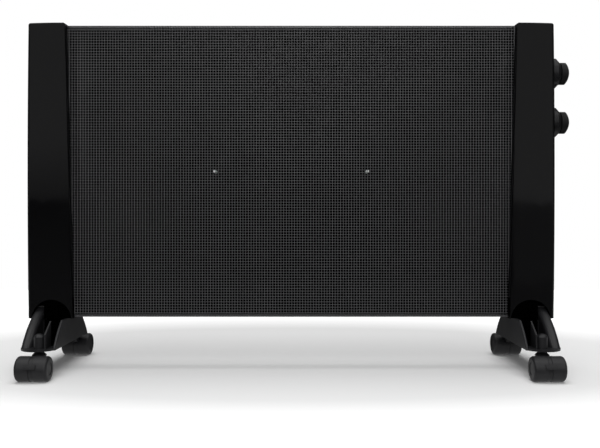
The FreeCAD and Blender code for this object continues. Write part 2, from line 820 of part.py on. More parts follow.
def castor_wheel():
    """Outer (+X) wheel: a cup with rounded shoulders, open to the hood."""
    def at(x, r):
        return round_axle(x, r)

    inner, outer = wheel_inner_face, wheel_outer_face
    bore = axle_radius + running_gap
    rim_inner = wheel_radius - wheel_shoulder - wheel_rim
    deep = inner + wheel_cup
    shoulder, lip = wheel_shoulder, wheel_lip
    diagonal = 1 - math.sqrt(0.5)
    edges = [
        line(at(inner, bore), at(inner, wheel_hub)),
        line(at(inner, wheel_hub), at(deep, wheel_hub)),
        line(at(deep, wheel_hub), at(deep, rim_inner)),
        line(at(deep, rim_inner), at(inner, rim_inner)),
        line(at(inner, rim_inner), at(inner, wheel_radius - lip)),
        arc(
            at(inner, wheel_radius - lip),
            at(inner + lip * diagonal, wheel_radius - lip * diagonal),
            at(inner + lip, wheel_radius),
        ),
        line(at(inner + lip, wheel_radius), at(outer - shoulder, wheel_radius)),
        arc(
            at(outer - shoulder, wheel_radius),
            at(outer - shoulder * diagonal, wheel_radius - shoulder * diagonal),
            at(outer, wheel_radius - shoulder),
        ),
        line(at(outer, wheel_radius - shoulder), at(outer, wheel_dish_radius)),
        line(at(outer, wheel_dish_radius), at(outer - wheel_dish, wheel_dish_radius)),
        line(at(outer - wheel_dish, wheel_dish_radius), at(outer - wheel_dish, 0)),
        line(at(outer - wheel_dish, 0), at(outer - axle_end + running_gap, 0)),
        line(at(outer - axle_end + running_gap, 0), at(outer - axle_end + running_gap, bore)),
        line(at(outer - axle_end + running_gap, bore), at(inner, bore)),
    ]
    return Part.Face(Part.Wire(edges)).revolve(axle_point(), X_AXIS, 360)


def castor_pieces():
    """The five pieces of one castor, by the end of their names."""
    wheel = castor_wheel()
    return {
        "hood": castor_hood(),
        "stem": castor_stem(),
        "axle": castor_axle(),
        "wheel_right": wheel,
        "wheel_left": mirrored(wheel),
    }


def place_castor(shape, x_side, y_side):
    """A castor's piece moved to one corner, its wheels away from the middle."""
    placed = shape.copy()
    if y_side > 0:
        placed.rotate(ORIGIN, Z_AXIS, 180)
    placed.translate(V(x_side * foot_x, y_side * castor_y, 0))
    return placed


def control_bracket():
    """Hat-shaped bracket on the right end plate that carries both controls."""
    z0, z1 = power_z - bracket_margin, thermostat_z + bracket_margin
    x0, x1, t = plate_out, bracket_x + plate, plate
    points = [
        V(x0, -bracket_half, z0 - bracket_flange),
        V(x0, -bracket_half, z0 + t),
        V(x1 - t, -bracket_half, z0 + t),
        V(x1 - t, -bracket_half, z1 - t),
        V(x0, -bracket_half, z1 - t),
        V(x0, -bracket_half, z1 + bracket_flange),
        V(x0 + t, -bracket_half, z1 + bracket_flange),
        V(x0 + t, -bracket_half, z1),
        V(x1, -bracket_half, z1),
        V(x1, -bracket_half, z0),
        V(x0 + t, -bracket_half, z0),
        V(x0 + t, -bracket_half, z0 - bracket_flange),
    ]
    body = prism(points, V(0, 2 * bracket_half, 0))
    for z in (thermostat_z, power_z):
        body = body.cut(rod(bush_radius + screw_gap, V(bracket_x - t, 0, z), V(x1 + t, 0, z)))
    return one(body)


def control_body(block, z):
    """A switch or thermostat: its block behind the bracket with a bush through it."""
    body = block.fuse(rod(bush_radius, V(bracket_x, 0, z), V(bracket_x + plate + bush_length, 0, z)))
    inner_end = bracket_x - spindle_into_body - spindle_end_gap
    bore = rod(spindle_radius + running_gap, V(inner_end, 0, z), V(knob_back, 0, z))
    return one(body.cut(bore))


def power_switch():
    """Rotary power switch."""
    half = switch_side / 2
    block = box(bracket_x - switch_depth, bracket_x, -half, half, power_z - half, power_z + half)
    return control_body(block, power_z)


def thermostat():
    """Capillary-free bimetal thermostat."""
    block = rod(
        thermostat_radius, V(bracket_x - thermostat_depth, 0, thermostat_z), V(bracket_x, 0, thermostat_z)
    )
    return control_body(block, thermostat_z)


def spindle(z):
    """Control spindle from inside its body into the knob."""
    start, end = bracket_x - spindle_into_body, knob_back + spindle_into_knob
    return rod(spindle_radius, V(start, 0, z), V(end, 0, z))


def knob(z):
    """Round knob with a domed face and an engraved pointer line."""
    side_end = knob_back + knob_side
    crown = side_end + knob_dome
    edges = [
        line(V(knob_back, 0, z), V(knob_back, 0, z + knob_radius)),
        line(V(knob_back, 0, z + knob_radius), V(side_end, 0, z + knob_radius)),
        dome_edge(V(side_end, 0, z), V(0, 0, knob_radius), V(knob_dome, 0, 0)),
        line(V(crown, 0, z), V(knob_back, 0, z)),
    ]
    body = Part.Face(Part.Wire(edges)).revolve(V(0, 0, z), X_AXIS, 360)
    bore_end = knob_back + spindle_into_knob + spindle_end_gap
    body = body.cut(rod(spindle_radius + running_gap, V(knob_back, 0, z), V(bore_end, 0, z)))
    half = knob_mark_width / 2
    mark = box(side_end - knob_mark_depth, crown, -half, half, z + knob_mark_start, z + 2 * knob_radius)
    lowered = body.copy()
    lowered.translate(V(-knob_mark_depth, 0, 0))
    return one(body.cut(mark.cut(lowered)))


def collar(z):
    """Dial collar: a short drum with a sloping edge on the bowed cap, and a spigot through its wall."""
    start = cap_side - cap_wall - collar_spigot_depth
    drum = turned(
        [
            V(start - cap_side_radius / 2, 0, z + collar_bore),
            V(start - cap_side_radius / 2, 0, z + collar_base),
            V(collar_shoulder, 0, z + collar_base),
            V(collar_face, 0, z + collar_tip),
            V(collar_face, 0, z + collar_bore),
        ],
        V(0, 0, z), X_AXIS,
    )
    drum = drum.cut(cap_body(cap_bottom, cap_top, -seat_gap))
    spigot = rod(collar_spigot, V(start, 0, z), V(collar_shoulder, 0, z))
    body = drum.fuse(spigot)
    return one(body.cut(rod(collar_bore, V(start - 1, 0, z), V(collar_face + 1, 0, z))))


def thermal_cutout():
    """Thermal cutout can with its fixing flange, on the right end plate."""
    half, deep = cutout_flange / 2, cutout_flange_width / 2
    base = plate_out + cutout_flange_sheet
    flange = box(plate_out, base, -deep, deep, cutout_z - half, cutout_z + half)
    can = rod(cutout_radius, V(base, 0, cutout_z), V(base + cutout_height, 0, cutout_z))
    return one(flange.fuse(can))


def tip_over_switch():
    """Sealed tip-over switch on the right end plate."""
    x, y, z = tip_switch_size
    return box(plate_out, plate_out + x, -y / 2, y / 2, tip_switch_z, tip_switch_z + z)


def terminal_block():
    """Terminal block on the right end plate, with a screw well for each way."""
    x, y, z = terminal_size
    body = box(plate_out, plate_out + x, -y / 2, y / 2, terminal_z, terminal_z + z)
    for way in range(terminal_ways):
        height = terminal_z + z * (way + 0.5) / terminal_ways
        body = body.cut(rod(terminal_hole, V(plate_out + x / 2, 0, height), V(plate_out + 2 * x, 0, height)))
    return one(body)


def cord_gland():
    """Bush in the rear wall of the right end cap, where the supply cord goes in."""
    outside = rod(gland_flange, V(gland_x, 0, gland_z), V(gland_x, cap_front + gland_flange_height, gland_z))
    outside = outside.cut(cap_body(cap_bottom, cap_top, -seat_gap))
    wall_y = cap_corner_y - cap_wall - gland_inside
    neck_end = cap_front + gland_flange_height / 2
    neck = rod(gland_neck, V(gland_x, wall_y, gland_z), V(gland_x, neck_end, gland_z))
    body = outside.fuse(neck)
    return one(body.cut(rod(gland_bore, V(gland_x, 0, gland_z), V(gland_x, 2 * cap_front, gland_z))))


def all_pieces():
    """Every piece of the heater by name."""
    front = grille()
    plate_right = end_plate()
    foot_right = foot()
    pieces = {
        "front_grille": front,
        "rear_grille": front.mirror(ORIGIN, Y_AXIS),
        "grille_screws": grille_screws(),
        "left_end_cap": mirrored(one(cap_shell())),
        "right_end_cap": right_cap(),
        "cap_screws": cap_screws(),
        "left_end_plate": mirrored(plate_right),
        "right_end_plate": plate_right,
        "lower_rail": rail(lower_rail_z, 1),
        "upper_rail": rail(upper_rail_z, -1),
        "left_clamp_strips": clamp_strips(-joint_x),
        "right_clamp_strips": clamp_strips(joint_x),
        "board_rivets": board_rivets(),
        "left_foot": mirrored(foot_right),
        "right_foot": foot_right,
        "foot_screws": foot_screws(),
        "control_bracket": control_bracket(),
        "power_switch": power_switch(),
        "power_spindle": spindle(power_z),
        "power_knob": knob(power_z),
        "power_collar": collar(power_z),
        "thermostat": thermostat(),
        "thermostat_spindle": spindle(thermostat_z),
        "thermostat_knob": knob(thermostat_z),
        "thermostat_collar": collar(thermostat_z),
        "thermal_cutout": thermal_cutout(),
        "tip_over_switch": tip_over_switch(),
        "terminal_block": terminal_block(),
        "cord_gland": cord_gland(),
    }
    for index, name in enumerate(("left", "centre", "right")):
        pieces[name + "_front_mica"] = mica_sheet(index, -1)
        pieces[name + "_heating_foil"] = resistance_foil(index)
        pieces[name + "_rear_mica"] = mica_sheet(index, 1)
    castor = castor_pieces()
    for end, y_side in (("front", -1), ("rear", 1)):
        for hand, x_side in (("left", -1), ("right", 1)):
            for name, shape in castor.items():
                placed = place_castor(shape, x_side, y_side)
                pieces[f"{end}_{hand}_castor_{name}"] = placed
    return pieces


def main():
    """Build every piece and write it to its own file."""
    os.makedirs("parts", exist_ok=True)
    for name, shape in all_pieces().items():
        print(name, "solids", len(shape.Solids), "valid", shape.isValid(), "volume", round(shape.Volume))
        shape.exportStep(f"parts/{name}.step")


main()
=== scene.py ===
"""Mica panel heater: perforated grilles, finishes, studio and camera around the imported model.

Sizes are in millimetres and places in the frame of the CAD model: +X to the control side,
the front towards -Y, +Z up, the floor at Z = 0. MM turns millimetres to Blender's metres.
"""

import logging
import math
from dataclasses import dataclass, field
from enum import Enum
from typing import Any, Iterable, Mapping, Sequence

import bpy
import numpy as np
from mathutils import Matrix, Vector


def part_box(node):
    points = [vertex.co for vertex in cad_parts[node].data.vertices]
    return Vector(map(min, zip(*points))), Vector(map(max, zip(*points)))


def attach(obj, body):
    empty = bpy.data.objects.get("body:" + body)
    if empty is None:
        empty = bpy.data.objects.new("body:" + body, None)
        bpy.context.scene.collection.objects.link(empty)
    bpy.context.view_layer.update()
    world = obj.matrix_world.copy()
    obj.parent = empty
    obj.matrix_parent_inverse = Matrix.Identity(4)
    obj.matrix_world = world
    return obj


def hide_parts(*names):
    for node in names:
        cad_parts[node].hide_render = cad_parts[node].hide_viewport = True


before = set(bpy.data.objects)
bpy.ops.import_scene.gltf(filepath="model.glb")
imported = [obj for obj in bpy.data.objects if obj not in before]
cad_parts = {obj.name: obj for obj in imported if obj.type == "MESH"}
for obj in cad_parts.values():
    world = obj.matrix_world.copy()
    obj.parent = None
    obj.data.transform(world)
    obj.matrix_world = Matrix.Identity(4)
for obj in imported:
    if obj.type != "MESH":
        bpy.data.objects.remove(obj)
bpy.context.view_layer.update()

LOG = logging.getLogger("heater")
MM = 0.001
PHOTO_WIDTH, PHOTO_HEIGHT = 600, 448
SENSOR_WIDTH = 36.0
BAKE_MAP = "OFBake"  # name of the UV map laid out for baking the finishes
WHITE = "#ffffff"
NOISE_LOW, NOISE_HIGH = 0.3, 0.7  # nearly all of a noise texture lies between these

Colour = tuple[float, float, float, float]
Place = tuple[float, float, float]
Span = tuple[float, float]


class Row(Enum):
    """Kinds of rows along the sheet of a grille."""

    PLAIN = "without holes"
    FLAT = "holes in a flat part"
    BEND = "holes in a fold"


class Side(Enum):
    """Which way a grille faces: the sign that its places along X and Y are turned by."""

    FRONT = 1
    REAR = -1


def srgb(code: str) -> Colour:
    """Turns an sRGB hex value to linear colour.

    Args:
        code: Colour such as "#1a1b1c".

    Returns:
        Linear red, green and blue, with an alpha of one.
    """
    parts = [int(code[i : i + 2], 16) / 255 for i in (1, 3, 5)]
    linear = [p / 12.92 if p <= 0.04045 else ((p + 0.055) / 1.055) ** 2.4 for p in parts]
    return (linear[0], linear[1], linear[2], 1.0)


def per_mm(size: float) -> float:
    """Texture scale, in repeats per metre, of marks that are this many millimetres wide."""
    return 1.0 / (size * MM)


def add_node(
    tree: bpy.types.NodeTree,
    kind: str,
    settings: Mapping[str | int, Any] | None = None,
    links: Mapping[str | int, bpy.types.NodeSocket] | None = None,
) -> bpy.types.Node:
    """Adds a node with its settings and links.

    Args:
        tree: Node tree of a material or of the world.
        kind: Blender's name for the node's type.
        settings: Values of input sockets, by name or place, or of the node's own properties.
        links: Output sockets that feed input sockets, by name or place.

    Returns:
        The new node.
    """
    node = tree.nodes.new(kind)
    for key, value in (settings or {}).items():
        if isinstance(key, int) or key in node.inputs:
            node.inputs[key].default_value = value
        else:
            setattr(node, key, value)
    for key, source in (links or {}).items():
        tree.links.new(source, node.inputs[key])
    return node


@dataclass(frozen=True)
class Finish:
    """A surface that starts from a real material and from how it was made.

    Attributes:
        name: Common name of the material and of its surface.
        colour: Main colour.
        second: Colour that the main one drifts to.
        roughness: Lowest and highest roughness over the surface.
        ior: Index of refraction, which a metal leaves at the default.
        shine: Strength of the mirrored light, less than 0.5 where pores or dust break up the skin.
        metallic: 1 for bare metal.
        drift: Width of the patches of colour and gloss, in millimetres.
        grain: Width of the marks in the surface, in millimetres.
        depth: Height of those marks, in millimetres.
    """

    name: str
    colour: str
    second: str
    roughness: Span
    ior: float = 1.5
    shine: float = 0.5
    metallic: float = 0.0
    drift: float = 40.0
    grain: float = 2.0
    depth: float = 0.02

    def tone(self, tree: bpy.types.NodeTree, place: bpy.types.NodeSocket) -> bpy.types.NodeSocket:
        """Gives the field, from 0 to 1, that colour and gloss drift by.

        Args:
            tree: Node tree of the material.
            place: Texture coordinates.

        Returns:
            The field's output socket.
        """
        cloud = add_node(
            tree,
            "ShaderNodeTexNoise",
            {"Scale": per_mm(self.drift), "Detail": 3.0},
            {"Vector": place},
        )
        return cloud.outputs["Fac"]

    def relief(self, tree: bpy.types.NodeTree, place: bpy.types.NodeSocket) -> bpy.types.NodeSocket:
        """Gives the height, from 0 to 1, of the marks in the surface.

        Args:
            tree: Node tree of the material.
            place: Texture coordinates.

        Returns:
            The height's output socket.
        """
        grain = add_node(
            tree,
            "ShaderNodeTexNoise",
            {"Scale": per_mm(self.grain), "Detail": 1.5},
            {"Vector": place},
        )
        return grain.outputs["Fac"]

    def build(self) -> bpy.types.Material:
        """Makes the material.

        Returns:
            A material with colour, roughness and relief from its nodes.
        """
        material = bpy.data.materials.new(self.name)
        material.use_nodes = True
        tree = material.node_tree
        shader = tree.nodes["Principled BSDF"]
        shader.inputs["Metallic"].default_value = self.metallic
        shader.inputs["IOR"].default_value = self.ior
        shader.inputs["Specular IOR Level"].default_value = self.shine
        place = add_node(tree, "ShaderNodeTexCoord").outputs["Object"]
        tone = self.tone(tree, place)
        colour = add_node(
            tree,
            "ShaderNodeMix",
            {"data_type": "RGBA", 6: srgb(self.colour), 7: srgb(self.second)},
            {0: tone},
        )
        gloss = add_node(
            tree,
            "ShaderNodeMapRange",
            {
                "From Min": NOISE_LOW,
                "From Max": NOISE_HIGH,
                "To Min": self.roughness[0],
                "To Max": self.roughness[1],
            },
            {"Value": tone},
        )
        bump = add_node(
            tree,
            "ShaderNodeBump",
            {"Strength": 1.0, "Distance": self.depth * MM},
            {"Height": self.relief(tree, place)},
        )
        tree.links.new(colour.outputs[2], shader.inputs["Base Color"])
        tree.links.new(gloss.outputs["Result"], shader.inputs["Roughness"])
        tree.links.new(bump.outputs["Normal"], shader.inputs["Normal"])
        return material


@dataclass(frozen=True)
class ShadePaintedPlastic(Finish):
    """Moulded plastic with painted shade in its recesses, alike at both ends of the heater.

    Attributes:
        low: Lowest corner of the recess, counted from the heater's middle: |X|, |Y| and Z.
        high: Its highest corner.
        shade: Colour of the painted shade inside the recess.
        dull: Roughness inside the recess.
    """

    low: Place = (0.0, 0.0, 0.0)
    high: Place = (0.0, 0.0, 0.0)
    shade: str = "#010101"
    dull: float = 0.95

    def outside_painted_shade(self, tree: bpy.types.NodeTree) -> bpy.types.NodeSocket:
        """Marks the surface outside the recess.

        Args:
            tree: Node tree of the material.

        Returns:
            A socket that is 1 outside the recess and 0 inside it.
        """
        middle = [(a + b) / 2 * MM for a, b in zip(self.low, self.high)]
        half = [(b - a) / 2 * MM for a, b in zip(self.low, self.high)]
        share = add_node(tree, "ShaderNodeTexCoord").outputs["Object"]
        for step in (
            {"operation": "ABSOLUTE"},
            {"operation": "SUBTRACT", 1: middle},
            {"operation": "ABSOLUTE"},
            {"operation": "DIVIDE", 1: half},
        ):
            share = add_node(tree, "ShaderNodeVectorMath", step, {0: share}).outputs["Vector"]
        axes = add_node(tree, "ShaderNodeSeparateXYZ", links={"Vector": share})
        reach = axes.outputs["X"]
        for axis in ("Y", "Z"):
            larger = add_node(
                tree, "ShaderNodeMath", {"operation": "MAXIMUM"}, {0: reach, 1: axes.outputs[axis]}
            )
            reach = larger.outputs["Value"]
        outside = add_node(
            tree, "ShaderNodeMath", {"operation": "GREATER_THAN", 1: 1.0}, {0: reach}
        )
        return outside.outputs["Value"]

    def build(self) -> bpy.types.Material:
        """Makes the material, with painted shade inside the recess: near black, dull and without
        gloss.

        Returns:
            The material.
        """
        material = super().build()
        tree = material.node_tree
        shader = tree.nodes["Principled BSDF"]
        outside_painted_shade = self.outside_painted_shade(tree)
        colour = shader.inputs["Base Color"].links[0].from_socket
        gloss = shader.inputs["Roughness"].links[0].from_socket
        # Painted shade: inside the recess the colour is mixed to near black and the gloss taken
        # away.
        dark = add_node(
            tree,
            "ShaderNodeMix",
            {"data_type": "RGBA", 6: srgb(self.shade)},
            {0: outside_painted_shade, 7: colour},
        )
        rough = add_node(tree, "ShaderNodeMix", {2: self.dull}, {0: outside_painted_shade, 3: gloss})
        shine = add_node(
            tree, "ShaderNodeMapRange", {"To Min": 0.0, "To Max": self.shine}, {"Value": outside_painted_shade}
        )
        tree.links.new(dark.outputs[2], shader.inputs["Base Color"])
        tree.links.new(rough.outputs[0], shader.inputs["Roughness"])
        tree.links.new(shine.outputs["Result"], shader.inputs["Specular IOR Level"])
        return material


@dataclass(frozen=True)
class MicaPaper(Finish):
    """Pressed mica paper: overlapping flakes with a glassy skin.

    Attributes:
        flake: Width of a flake, in millimetres.
    """

    flake: float = 9.0

    def tone(self, tree: bpy.types.NodeTree, place: bpy.types.NodeSocket) -> bpy.types.NodeSocket:
        """Gives each flake a shade of its own.

        Args:
            tree: Node tree of the material.
            place: Texture coordinates.

        Returns:
            The shade's output socket.
        """
        flakes = add_node(
            tree, "ShaderNodeTexVoronoi", {"Scale": per_mm(self.flake)}, {"Vector": place}
        )
        shade = add_node(tree, "ShaderNodeSeparateColor", links={"Color": flakes.outputs["Color"]})
        return shade.outputs["Red"]


@dataclass(frozen=True)
class DrawnMetal(Finish):
    """Rolled or drawn metal: fine lines along X.

    Attributes:
        stretch: How many times longer than wide the lines are.
    """

    stretch: float = 30.0

    def relief(self, tree: bpy.types.NodeTree, place: bpy.types.NodeSocket) -> bpy.types.NodeSocket:
        """Gives the lines that the rolls left.

        Args:
            tree: Node tree of the material.
            place: Texture coordinates.

        Returns:
            The height's output socket.
        """
        along = add_node(
            tree,
            "ShaderNodeMapping",
            {"Scale": (per_mm(self.grain * self.stretch), per_mm(self.grain), per_mm(self.grain))},
            {"Vector": place},
        )
        lines = add_node(
            tree,
            "ShaderNodeTexNoise",
            {"Scale": 1.0, "Detail": 2.0},
            {"Vector": along.outputs["Vector"]},
        )
        return lines.outputs["Fac"]


# Satin powder coat on steel sheet: dull grey-black that spreads a light softly. Its orange
# peel is under a millimetre wide, drawn coarser so that it shows.
GRILLE_COAT = Finish(
    "satin_powder_coat_on_steel", "#49494b", "#4e4e50", (0.34, 0.42),
    drift=60.0, grain=1.6, depth=0.02,
)
# ABS moulded against a polished tool: deep black with a mirror skin, faintly wavy over the ribs.
# The recess above each foot is painted shade: near black and dull, so it shows as a black arch.
CAP_ABS = ShadePaintedPlastic(
    "polished_moulded_abs", "#050506", "#070708", (0.05, 0.10),
    ior=1.53, drift=90.0, grain=45.0, depth=0.03,
    # Box of the painted shade above each foot.
    low=(323.0, 0.0, 60.0), high=(374.0, 28.5, 107.5),
)
# Polypropylene moulded in a fine spark-eroded tool: satin black. The grain is 0.3 mm, drawn
# coarser so that it shows. The webs between its walls are painted shade:
# near black and dull.
FOOT_PP = ShadePaintedPlastic(
    "spark_grained_polypropylene", "#1c1c1e", "#212123", (0.30, 0.40),
    ior=1.49, grain=1.8, depth=0.02,
    # Box of the painted shade on the webs of each foot.
    low=(336.3, 0.0, 30.0), high=(366.5, 60.0, 100.0),
)
# Nylon castor housings from a bare steel tool: black with a soft sheen, a little duller than the
# feet.
CASTOR_NYLON = Finish(
    "moulded_black_nylon", "#161618", "#1c1c1e", (0.36, 0.46),
    ior=1.53, shine=0.38, drift=15.0, grain=1.8, depth=0.02,
)
# Nylon wheels: scuffed by the floor, so greyer and rougher in patches.
WHEEL_NYLON = Finish(
    "scuffed_nylon_tread", "#18181a", "#222224", (0.40, 0.54),
    ior=1.53, shine=0.38, drift=8.0, grain=1.5, depth=0.03,
)
# Knobs of ABS moulded in a blasted tool: dull black, with a faint sheen that hides finger marks.
KNOB_ABS = Finish(
    "blasted_moulded_abs", "#0b0b0c", "#101011", (0.60, 0.70),
    ior=1.53, shine=0.25, drift=12.0, grain=1.5, depth=0.01,
)
# Collars of the same ABS from a smoother tool: half gloss, so that their rims catch the light.
COLLAR_ABS = Finish(
    "half_gloss_moulded_abs", "#101012", "#151517", (0.24, 0.34),
    ior=1.53, drift=12.0, grain=1.5, depth=0.01,
)
# Phosphated sheet steel: a dark grey crystal skin, matt and a little cloudy.
PHOSPHATED_STEEL = Finish(
    "phosphated_steel", "#161617", "#1d1d1e", (0.48, 0.60),
    ior=1.6, drift=14.0, grain=1.0, depth=0.02,
)
# Black enamel fired on the rails and strips behind the grilles: near black, with a glassy skin.
FIRED_ENAMEL = Finish(
    "fired_black_enamel", "#030303", "#050505", (0.05, 0.10),
    ior=1.55, drift=20.0, grain=3.0, depth=0.01,
)
# Bright-turned steel of screws, axles, stems and spindles: pale, with fine lines in its gloss.
BRIGHT_STEEL = DrawnMetal(
    "bright_turned_steel", "#b4b6b8", "#c6c8ca", (0.18, 0.28),
    metallic=1.0, drift=6.0, grain=0.6, depth=0.01,
)
# Aluminium of the rivets, blasted before setting: pale, and bright from every side.
RIVET_ALUMINIUM = Finish(
    "blasted_aluminium", "#eeefef", "#f6f6f6", (0.68, 0.78),
    metallic=1.0, drift=4.0, grain=1.0, depth=0.01,
)
# Dark phlogopite mica paper: brown-black with flakes that mirror like glass.
MICA = MicaPaper(
    "pressed_phlogopite_mica", "#020202", "#050404", (0.05, 0.10),
    ior=1.58, drift=9.0, grain=4.0, depth=0.01,
)
# Nickel-chrome foil: straw-grey, with the long lines of the rolls.
HEATING_FOIL = DrawnMetal(
    "rolled_nickel_chrome_foil", "#8a8378", "#9a9284", (0.25, 0.38),
    metallic=1.0, drift=10.0, grain=0.8,
)
# Heat-resistant moulding compound of the switches: matt, slightly grey.
CONTROL_PHENOLIC = Finish(
    "moulded_phenolic", "#1b1a19", "#26241f", (0.40, 0.55),
    ior=1.6, drift=6.0, grain=1.2, depth=0.02,
)
# Rubber of the cord gland: matt, dark grey bloom.
GLAND_RUBBER = Finish(
    "moulded_epdm_rubber", "#121212", "#1c1c1c", (0.55, 0.70),
    ior=1.5, drift=5.0, grain=1.2, depth=0.02,
)


def mesh_object(
    name: str,
    points: np.ndarray | Sequence[Sequence[float]],
    faces: Sequence[Sequence[int]],
    material: bpy.types.Material,
) -> bpy.types.Object:
    """Makes a mesh object in the scene.

    Args:
        name: Name of the object and of its mesh.
        points: Corners in millimetres.
        faces: Corner numbers of each face.
        material: Its only material.

    Returns:
        The new object, at the origin, with its place in its mesh.
    """
    mesh = bpy.data.meshes.new(name)
    mesh.from_pydata((np.asarray(points, float) * MM).tolist(), [], list(faces))
    mesh.materials.append(material)
    mesh.update()
    made = bpy.data.objects.new(name, mesh)
    bpy.context.scene.collection.objects.link(made)
    return made


@dataclass
class DressedGroup:
    """CAD nodes that share a finish and keep their shape.

    Attributes:
        title: Name of the sub-assembly in the log.
        finish: What its nodes wear.
        nodes: The CAD nodes.
    """

    title: str
    finish: Finish
    nodes: Sequence[str]

    def build(self) -> list[str]:
        """Puts the finish on each node.

        Returns:
            Names of the nodes dressed.
        """
        material = self.finish.build()
        for name in self.nodes:
            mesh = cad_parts[name].data
            mesh.materials.clear()
            mesh.materials.append(material)
        return list(self.nodes)


@dataclass
class PerforatedGrilles:
    """Front and rear grille: perforated steel sheet, folded back at top and bottom.

    A cell is one pitch square and holds one square hole with cut corners. The sheet is plain at its
    rims and in a narrow strip behind each fold. It is made in several widths, edge to edge, so that
    each mesh stays light.

    Attributes:
        sheet: Thickness of the steel.
        bend: Outer radius of the folds.
        hole: Side of a hole.
        corner: How much of each side a hole's cut corner takes.
        columns: Holes across the sheet.
        between: Cells from one board rivet to the other. The left rivet is behind a hole, and
            the half cell puts the right one between two holes.
        strip: Width of the plain strip between a fold and the holes of its edge.
        flange_rows: Rows of holes in each folded edge.
        face_rows: Rows of holes in the flat face.
        widths: Number of pieces that a sheet is made in.
        finish: Its coat.
        slot: Name of the slot for that coat; not used.
        low: Lowest corner of the front grille, from its CAD node.
        high: Its highest corner.
        rivet: Place along X of the left board rivet.
        pitch: Distance from hole to hole across the sheet.
    """

    sheet: float = 0.8
    bend: float = 2.5
    hole: float = 3.45
    corner: float = 0.35
    columns: int = 166
    between: float = 56.5
    strip: float = 1.5
    flange_rows: int = 2
    face_rows: int = 107
    widths: int = 5
    finish: Finish = GRILLE_COAT
    slot: str = "grille_steel"
    low: Vector = field(init=False)
    high: Vector = field(init=False)
    rivet: float = field(init=False)
    pitch: float = field(init=False)

    def __post_init__(self) -> None:
        """Takes the sheet's outline and the rivets' places from the CAD nodes."""
        low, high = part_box("front_grille")
        self.low, self.high = low / MM, high / MM
        left, right = (
            sum(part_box(f"{hand}_clamp_strips"), Vector()) / 2 / MM for hand in ("left", "right")
        )
        self.rivet = left.x
        self.pitch = (right.x - left.x) / self.between

    def lengths(self) -> tuple[float, float, float]:
        """Measures the parts of the flat sheet.

        Returns:
            Lengths of a folded edge, of a fold and of the face.
        """
        edge = self.high.y - self.low.y - self.bend
        face = self.high.z - self.low.z - 2 * self.bend
        return edge, math.pi / 2 * self.bend, face

    def rows(self) -> list[tuple[float, float, Row]]:
        """Lays out the rows along the sheet, from the lower folded edge to the upper one.

        Returns:
            Start, end and kind of each row.
        """
        edge, fold, face = self.lengths()
        rim = edge - self.flange_rows * self.pitch - self.strip
        lower = [(rim, Row.PLAIN)] + [(self.pitch, Row.FLAT)] * self.flange_rows
        lower += [(self.strip, Row.PLAIN), (fold, Row.BEND)]
        flat = [(face / self.face_rows, Row.FLAT)] * self.face_rows
        found, at = [], 0.0
        for length, kind in lower + flat + lower[::-1]:
            found.append((at, at + length, kind))
            at += length
        return found

    def folded(self, across: np.ndarray, along: np.ndarray, inside: float) -> np.ndarray:
        """Folds places on the flat sheet to places in the frame.

        Args:
            across: Places along X.
            along: Places along the sheet, from the lower folded edge.
            inside: Depth below the outer face.

        Returns:
            Places on the front grille, one row each.
        """
        edge, fold, face = self.lengths()
        start = np.cumsum([0.0, edge, fold, face, fold])
        # Parts 0 and 4 are the lower and upper folded edge, 1 and 3 the folds, and 2 the face.
        part = np.clip(np.searchsorted(start, along, side="right") - 1, 0, 4)
        turn = np.select(
            [part == 1, part == 2, part == 3],
            [
                (along - start[1]) / self.bend,
                math.pi / 2,
                math.pi / 2 + (along - start[3]) / self.bend,
            ],
            default=np.where(part == 0, 0.0, math.pi),
        )
        centre_y = np.select(
            [part == 0, part == 4],
            [self.high.y - along, self.low.y + self.bend + (along - start[4])],
            default=self.low.y + self.bend,
        )
        centre_z = np.select(
            [part <= 1, part == 2],
            [self.low.z + self.bend, self.low.z + self.bend + (along - start[2])],
            default=self.high.z - self.bend,
        )
        radius = self.bend - inside
        return np.stack(
            [across, centre_y - radius * np.sin(turn), centre_z - radius * np.cos(turn)], axis=-1
        )

    def spread(self) -> list[tuple[list[float], bool, bool]]:
        """Shares the columns out among the pieces.

        Returns:
            Column borders of each piece, and whether it has a plain margin at its left and right.
        """
        before = round((self.rivet / self.pitch) + self.columns / 2)
        borders = [self.rivet + (i - before - 0.5) * self.pitch for i in range(self.columns + 1)]
        cuts = [round(i * self.columns / self.widths) for i in range(self.widths + 1)]
        found = []
        for i in range(self.widths):
            inner = borders[cuts[i] : cuts[i + 1] + 1]
            first, last = i == 0, i == self.widths - 1
            edge = ([self.low.x] if first else []) + inner + ([self.high.x] if last else [])
            found.append((edge, first, last))
        return found

    def build(self) -> list[str]:
        """Makes both grilles, in their places, in place of the coarse CAD nodes.

        Returns:
            Names of the new pieces.
        """
        material = self.finish.build()
        names = []
        for number, (borders, left, right) in enumerate(self.spread(), start=1):
            sheet = SheetMesh(self, borders, left, right)
            for side in Side:
                node = f"{side.name.lower()}_grille"
                turned = sheet.points * np.array([side.value, side.value, 1.0])
                made = mesh_object(f"{node}_sheet_{number}", turned, sheet.faces, material)
                layer = made.data.uv_layers.new(name=BAKE_MAP)
                layer.uv.foreach_set("vector", sheet.places.ravel())
                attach(made, "housing")
                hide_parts(node)
                names.append(made.name)
        return names


